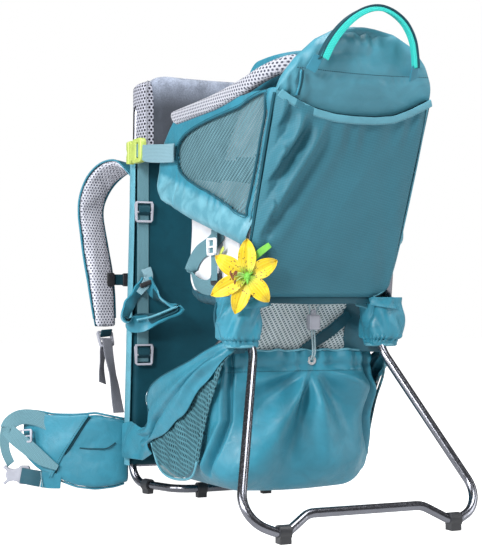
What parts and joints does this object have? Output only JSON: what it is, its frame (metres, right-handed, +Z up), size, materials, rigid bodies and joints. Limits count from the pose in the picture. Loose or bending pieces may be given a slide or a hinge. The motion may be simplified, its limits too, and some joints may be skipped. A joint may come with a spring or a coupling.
{
  "type": "baby carrier backpack",
  "caption": "Framed backpack for carrying a child, with a padded cockpit, side entry, hip belt, shoulder straps, lower bag and a folding rear stand.",
  "frame": {"origin": "on the ground, at the middle of the footprint's box", "axes": "+Z up, +Y towards the wearer's back, +X towards the wearer's right"},
  "size_m": [0.6524, 0.7142, 0.7165],
  "materials": {
    "tube_aluminium": "glossy dark anodised",
    "stay_aluminium": "plain",
    "black_plastic": "moulded",
    "grey_plastic": "moulded",
    "lime_plastic": "moulded",
    "steel": "plated",
    "teal_nylon": "coated nylon",
    "dark_teal_nylon": "coated nylon",
    "pocket_nylon": "plain weave",
    "spacer_mesh": "3-D spacer mesh",
    "grey_fleece": "brushed fleece",
    "net_mesh": "open net",
    "webbing": "woven webbing",
    "handle_webbing": "woven webbing",
    "seat_fabric": "soft knit",
    "harness_fabric": "knit over foam",
    "elastic_cord": "braided elastic",
    "flower_fabric": "printed satin"
  },
  "bodies": {
    "frame": {"main_frame_tube": "tube_aluminium", "cockpit_hoop_tube": "tube_aluminium", "hoop_saddles": "black_plastic", "back_stays": "stay_aluminium", "ground_loop_feet": "black_plastic", "back_panel": "dark_teal_nylon", "neck_mesh_pad": "spacer_mesh", "chin_pad": "grey_fleece", "back_pads": "spacer_mesh", "lumbar_pad": "spacer_mesh", "cockpit_side_left": "teal_nylon", "cockpit_side_right": "teal_nylon", "cockpit_rim_pad": "spacer_mesh", "rear_cover": "teal_nylon", "rear_pocket": "pocket_nylon", "lower_bag": "teal_nylon", "drawcord_grommet": "steel", "side_mesh_pockets": "net_mesh", "hip_stabilisers": "dark_teal_nylon", "compression_locks": "grey_plastic", "rear_mesh_panel": "net_mesh", "drawcord": "elastic_cord", "stand_hinge_housings": "black_plastic", "stand_pivot_pins": "steel", "hinge_sleeves": "teal_nylon", "stirrup_webbing": "webbing", "stirrup_locks": "grey_plastic", "entry_tabs": "lime_plastic", "entry_straps": "webbing", "load_lifters": "webbing", "shoulder_webbing": "webbing", "flower_clip": "flower_fabric", "seat_adjuster_straps": "webbing"},
    "stand": {"stand_tube": "tube_aluminium", "stand_feet": "black_plastic", "stand_pivot_eyes": "black_plastic"},
    "grab_handle": {"grab_handle": "handle_webbing"},
    "seat": {"seat_saddle": "seat_fabric", "seat_adjuster_locks": "grey_plastic", "harness_straps": "harness_fabric", "harness_buckle": "black_plastic"},
    "headrest": {"headrest_pad": "spacer_mesh"},
    "cord_lock": {"cord_lock_body": "grey_plastic"},
    "cord_lock_button": {"cord_lock_button": "grey_plastic"},
    "shoulder_left": {"shoulder_strap_left": "spacer_mesh", "strap_ladder_lock_left": "grey_plastic"},
    "chest_left": {"chest_buckle_left": "black_plastic"},
    "hip_left": {"hip_fin_left": "teal_nylon", "hip_webbing_left": "webbing", "hip_buckle_left": "grey_plastic"},
    "entry_left": {"entry_buckle_left": "lime_plastic"},
    "stirrup_left": {"stirrup_loop_left": "dark_teal_nylon"},
    "shoulder_right": {"shoulder_strap_right": "spacer_mesh", "strap_ladder_lock_right": "grey_plastic"},
    "chest_right": {"chest_buckle_right": "black_plastic"},
    "hip_right": {"hip_fin_right": "teal_nylon", "hip_webbing_right": "webbing", "hip_buckle_right": "grey_plastic"},
    "entry_right": {"entry_buckle_right": "lime_plastic"},
    "stirrup_right": {"stirrup_loop_right": "dark_teal_nylon"}
  },
  "joints": [
    {"name": "stand_fold", "type": "hinge", "parent": "frame", "child": "stand", "pos_m": [0, -0.178, 0.279], "axis": [1, 0, 0], "range_deg": [0, 28]},
    {"name": "grab_handle_flop", "type": "hinge", "parent": "frame", "child": "grab_handle", "pos_m": [0, -0.352, 0.634], "axis": [1, 0, 0], "range_deg": [-3, 95]},
    {"name": "seat_height", "type": "slide", "parent": "frame", "child": "seat", "axis": [0, 0, 1], "range_m": [0, 0.03], "deforming": ["seat_adjuster_straps"]},
    {"name": "headrest_height", "type": "slide", "parent": "frame", "child": "headrest", "axis": [0, -0.2873, 0.9578], "range_m": [0, 0.035]},
    {"name": "cord_lock_slide", "type": "slide", "parent": "frame", "child": "cord_lock", "axis": [0, 0, 1], "range_m": [-0.015, 0.008], "deforming": ["drawcord"]},
    {"name": "cord_lock_press", "type": "slide", "parent": "cord_lock", "child": "cord_lock_button", "axis": [0, 0, -1], "range_m": [0, 0.004], "stiffness_N_per_m": 600, "springref_m": -0.001},
    {"name": "shoulder_strap_left_swing", "type": "hinge", "parent": "frame", "child": "shoulder_left", "pos_m": [-0.078, 0.254, 0.498], "axis": [1, 0, 0], "range_deg": [-6, 22], "deforming": ["shoulder_webbing"]},
    {"name": "chest_strap_left_height", "type": "slide", "parent": "shoulder_left", "child": "chest_left", "axis": [0, 0, 1], "range_m": [-0.03, 0.03]},
    {"name": "hip_fin_left_swing", "type": "hinge", "parent": "frame", "child": "hip_left", "pos_m": [-0.14, 0.232, 0.068], "axis": [0, 0, 1], "range_deg": [-35, 20]},
    {"name": "entry_buckle_left_release", "type": "slide", "parent": "frame", "child": "entry_left", "axis": [0, -1, 0], "range_m": [0, 0.026], "deforming": ["entry_straps"]},
    {"name": "stirrup_left_height", "type": "slide", "parent": "frame", "child": "stirrup_left", "axis": [0, 0, 1], "range_m": [-0.01, 0.06]},
    {"name": "shoulder_strap_right_swing", "type": "hinge", "parent": "frame", "child": "shoulder_right", "pos_m": [0.078, 0.254, 0.498], "axis": [1, 0, 0], "range_deg": [-6, 22], "deforming": ["load_lifters"]},
    {"name": "chest_strap_right_height", "type": "slide", "parent": "shoulder_right", "child": "chest_right", "axis": [0, 0, 1], "range_m": [-0.03, 0.03]},
    {"name": "hip_fin_right_swing", "type": "hinge", "parent": "frame", "child": "hip_right", "pos_m": [0.14, 0.232, 0.068], "axis": [0, 0, 1], "range_deg": [-20, 35]},
    {"name": "entry_buckle_right_release", "type": "slide", "parent": "frame", "child": "entry_right", "axis": [0, -1, 0], "range_m": [0, 0.026]},
    {"name": "stirrup_right_height", "type": "slide", "parent": "frame", "child": "stirrup_right", "axis": [0, 0, 1], "range_m": [-0.01, 0.06]}
  ]
}
